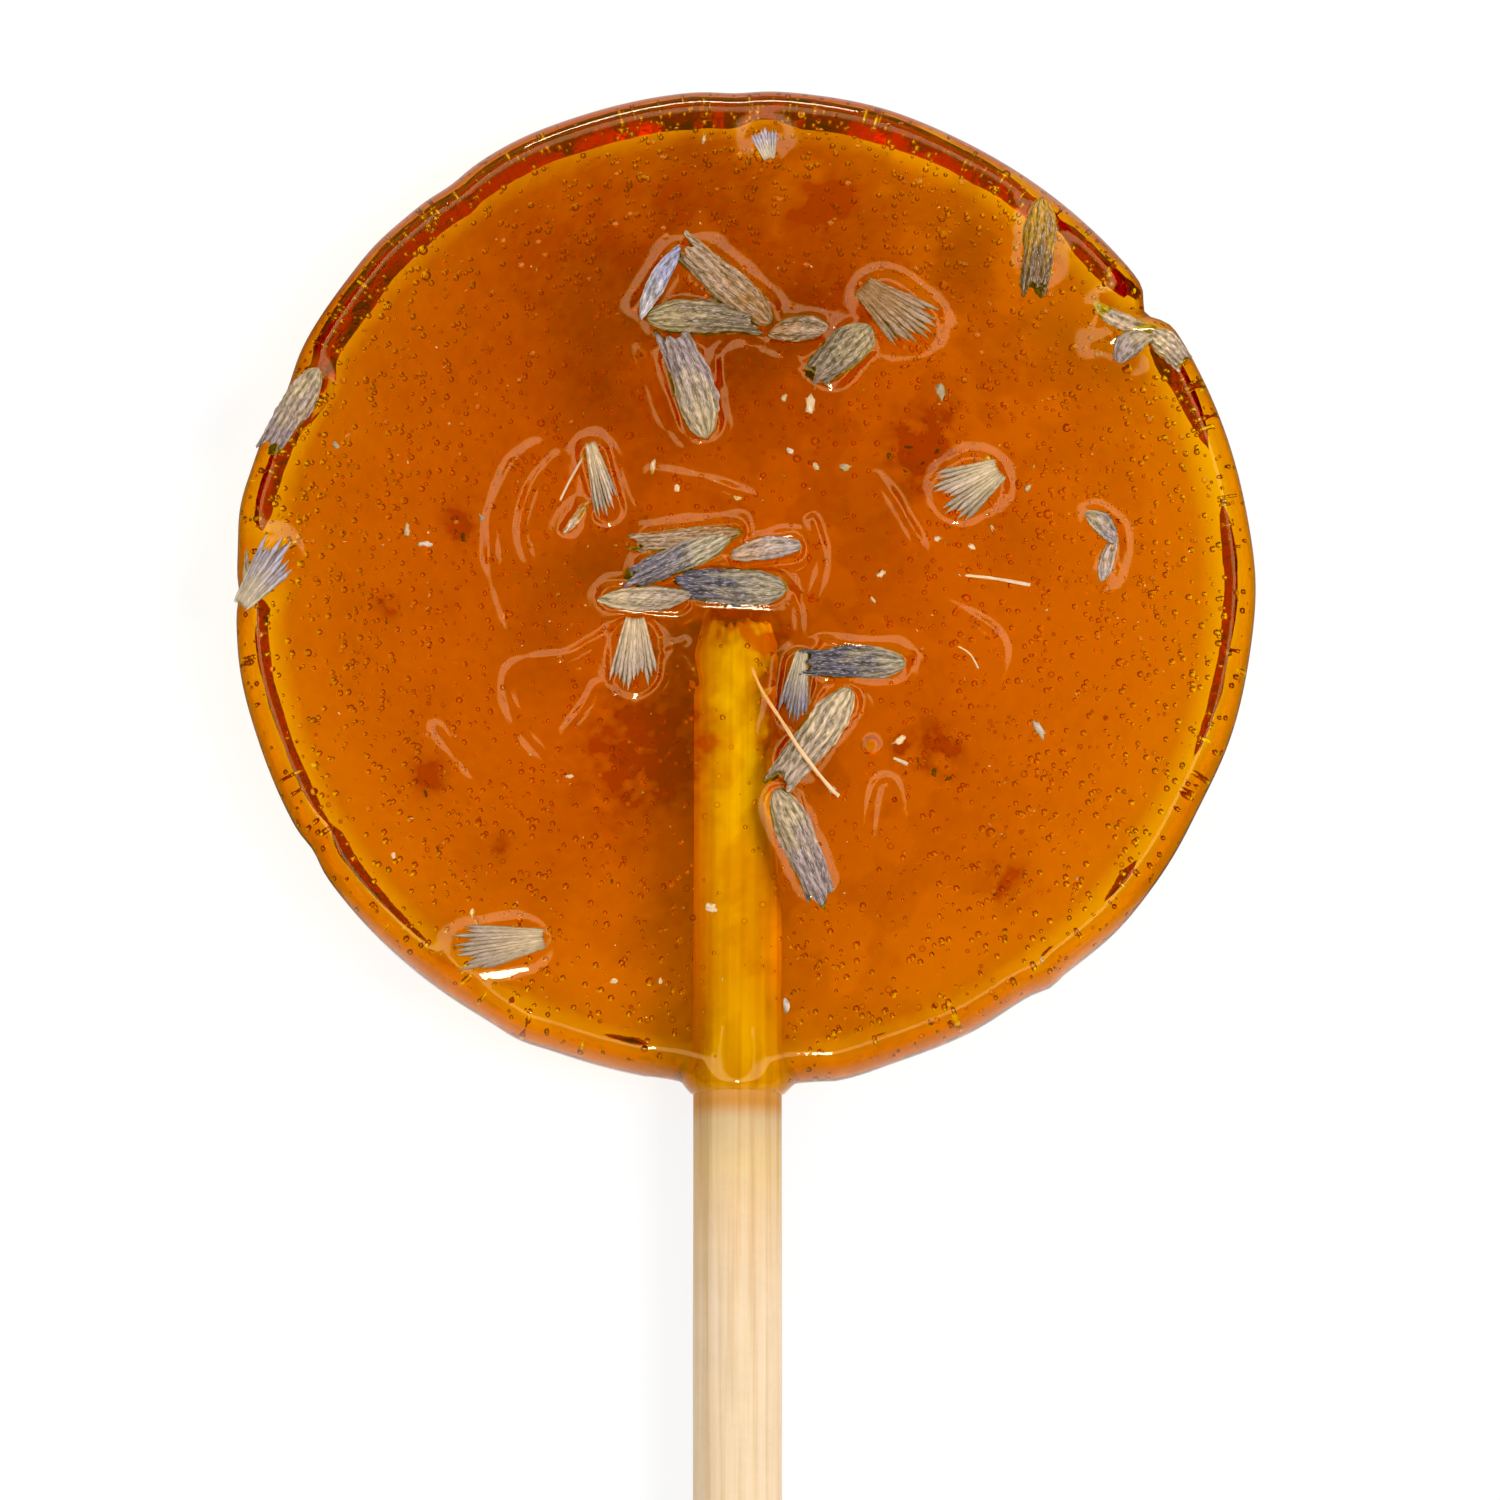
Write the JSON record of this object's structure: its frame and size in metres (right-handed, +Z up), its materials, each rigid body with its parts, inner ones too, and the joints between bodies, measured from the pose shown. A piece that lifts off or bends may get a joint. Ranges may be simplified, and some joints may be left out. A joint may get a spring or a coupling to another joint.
{
  "type": "lollipop",
  "caption": "Flat round amber sugar lollipop with dried lavender buds set in its top, lying flat on a round bamboo stick that is sunk in its rim.",
  "frame": {"origin": "middle of the sugar disc's flat underside, which is what the part rests on", "axes": "+Z up, out of the domed top with the buds; -Y runs from the disc along the stick; +X to the right when the stick points towards the viewer"},
  "size_m": [0.0509, 0.1411, 0.0075],
  "materials": {
    "amber_sugar": "clear glossy amber sugar",
    "bamboo": "bare sanded bamboo",
    "dried_flower": "matte dry petals and sepals"
  },
  "bodies": {
    "root": {"candy": "amber_sugar", "stick": "bamboo"}
  },
  "joints": []
}
